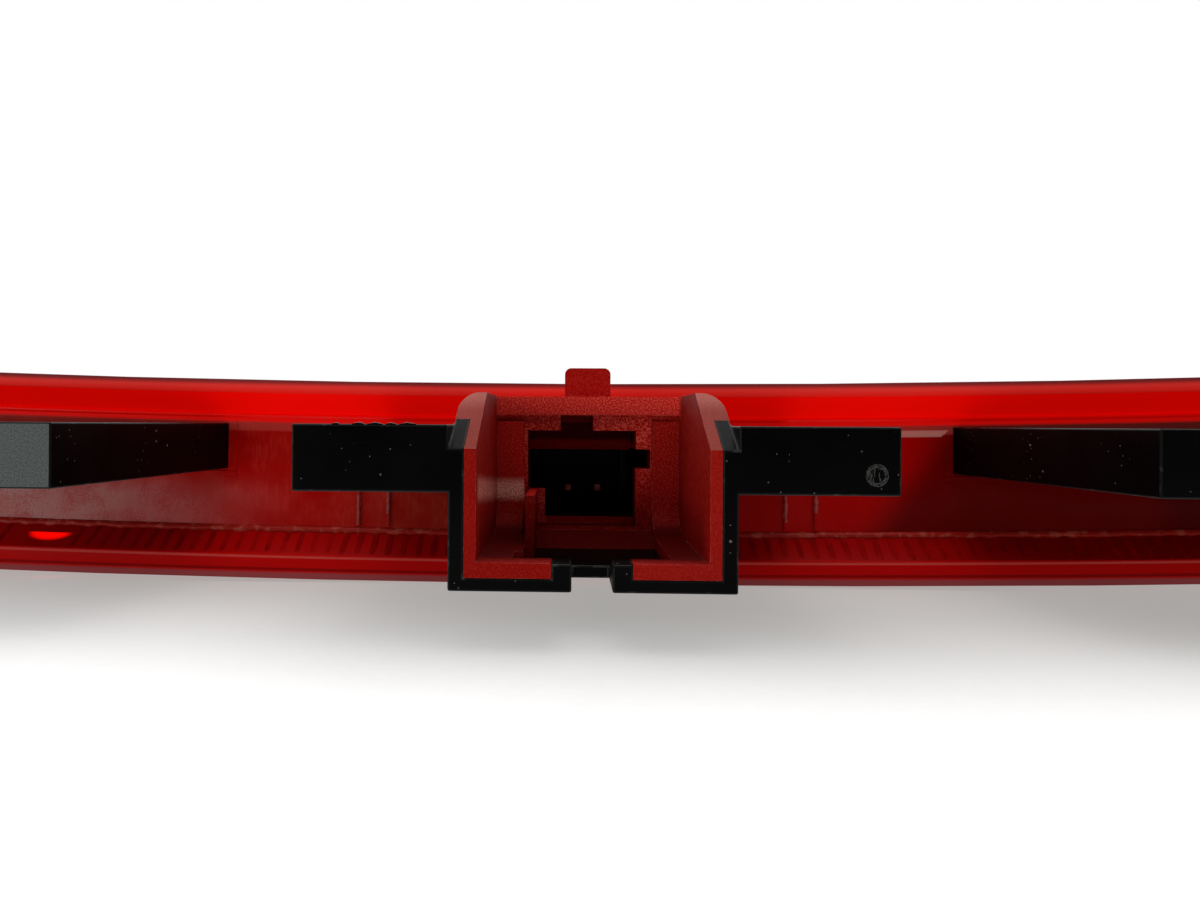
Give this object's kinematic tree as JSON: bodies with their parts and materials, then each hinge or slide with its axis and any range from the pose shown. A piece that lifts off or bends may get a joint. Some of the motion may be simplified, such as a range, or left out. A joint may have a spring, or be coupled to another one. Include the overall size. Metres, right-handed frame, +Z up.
{
  "type": "third brake light",
  "caption": "Slim curved high-mounted brake lamp with a red lens, keyed rear connector shroud, black locating fins and threaded fixing studs.",
  "frame": {"origin": "midway between the two fixing studs, on the plane of their boss seats", "axes": "+X along the lamp, +Y out of the car through the lens, +Z up"},
  "size_m": [0.3632, 0.04, 0.026],
  "materials": {
    "clear_red_lens": "transparent red, polished crown and satin rim",
    "red_housing": "red moulded plastic, polished plate and fine spark-eroded shroud",
    "weld_red": "rough welded flash",
    "black_plastic": "black moulded plastic with fine scratches",
    "header_black": "black moulded plastic",
    "tinned_metal": "tin-plated brass",
    "board": "green solder mask",
    "reflector_plating": "aluminised plastic",
    "zinc_steel": "zinc-plated steel",
    "component_body": "black moulded package",
    "capacitor_body": "ceramic",
    "membrane": "porous membrane",
    "led_package": "white package with a clear red window"
  },
  "bodies": {
    "root": {"outer_lens": "clear_red_lens", "rear_housing": "red_housing", "weld_bead": "weld_red", "black_shell": "black_plastic", "outer_fin_left": "black_plastic", "outer_fin_right": "black_plastic", "pin_header": "header_black", "terminal_pin_left": "tinned_metal", "terminal_pin_right": "tinned_metal", "circuit_board": "board", "reflector_left": "reflector_plating", "reflector_right": "reflector_plating", "stud_left": "zinc_steel", "stud_right": "zinc_steel", "protection_diode": "component_body", "capacitor": "capacitor_body", "vent_membrane": "membrane", "led_01": "led_package", "led_02": "led_package", "led_03": "led_package", "led_04": "led_package", "led_05": "led_package", "led_06": "led_package", "led_07": "led_package", "led_08": "led_package", "led_09": "led_package", "led_10": "led_package", "led_11": "led_package", "led_12": "led_package", "led_13": "led_package", "led_14": "led_package", "led_15": "led_package", "led_16": "led_package", "resistor_1": "component_body", "resistor_2": "component_body", "resistor_3": "component_body", "resistor_4": "component_body"}
  },
  "joints": []
}
